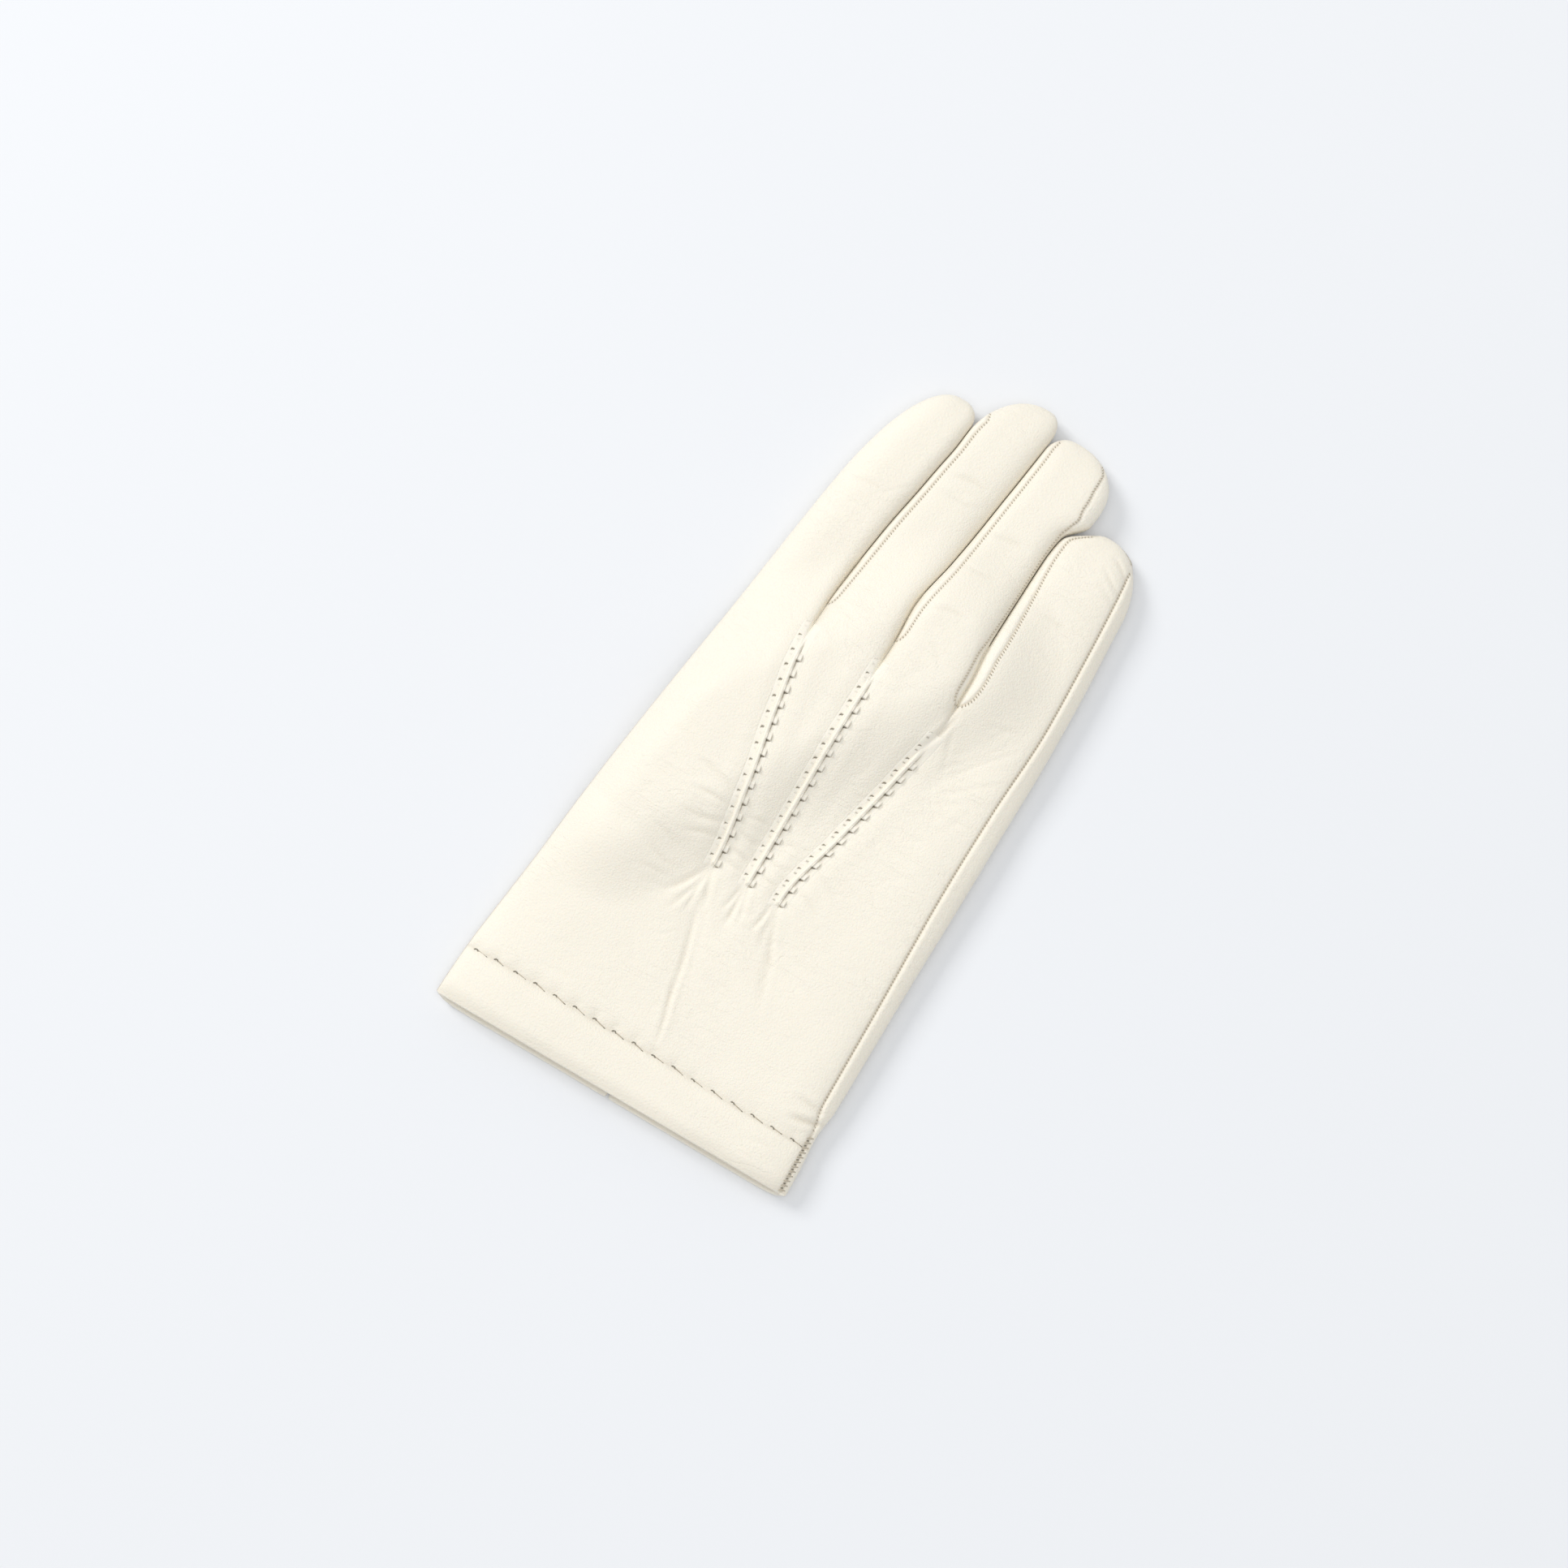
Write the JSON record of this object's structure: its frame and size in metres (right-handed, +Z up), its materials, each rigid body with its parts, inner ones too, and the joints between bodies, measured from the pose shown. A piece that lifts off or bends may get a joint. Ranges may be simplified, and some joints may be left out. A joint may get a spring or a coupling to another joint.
{
  "type": "right-hand cashmere-lined leather dress glove",
  "caption": "Soft leather dress glove for a right hand with sewn fourchettes, raised points on the back and a bound wrist vent, lying palm down.",
  "frame": {"origin": "under the middle of the glove's box, on the surface that it lies on", "axes": "+Y from the cuff to the fingertips, +Z up out of the back of the hand, -X towards the index finger and the thumb"},
  "size_m": [0.1238, 0.248, 0.0216],
  "materials": {
    "ivory_leather": "smooth soft ivory nappa with a faint grain and a low satin sheen",
    "stitched_points": "the same leather pinched into tucks under short beige stitches",
    "beige_thread": "fine twisted sewing thread, matt",
    "cashmere_knit": "soft fine cream knit inside the mouth"
  },
  "bodies": {
    "root": {"trank_back_hand": "ivory_leather", "trank_back_fingers": "ivory_leather", "trank_palm": "ivory_leather", "fourchette_index_middle": "ivory_leather", "fourchette_middle_ring": "ivory_leather", "fourchette_ring_little": "ivory_leather", "quirk": "ivory_leather", "thumb": "ivory_leather", "vent_binding_thumb_side": "ivory_leather", "vent_binding_little_side": "ivory_leather", "point_index": "stitched_points", "point_middle": "stitched_points", "point_ring": "stitched_points"}
  },
  "joints": []
}
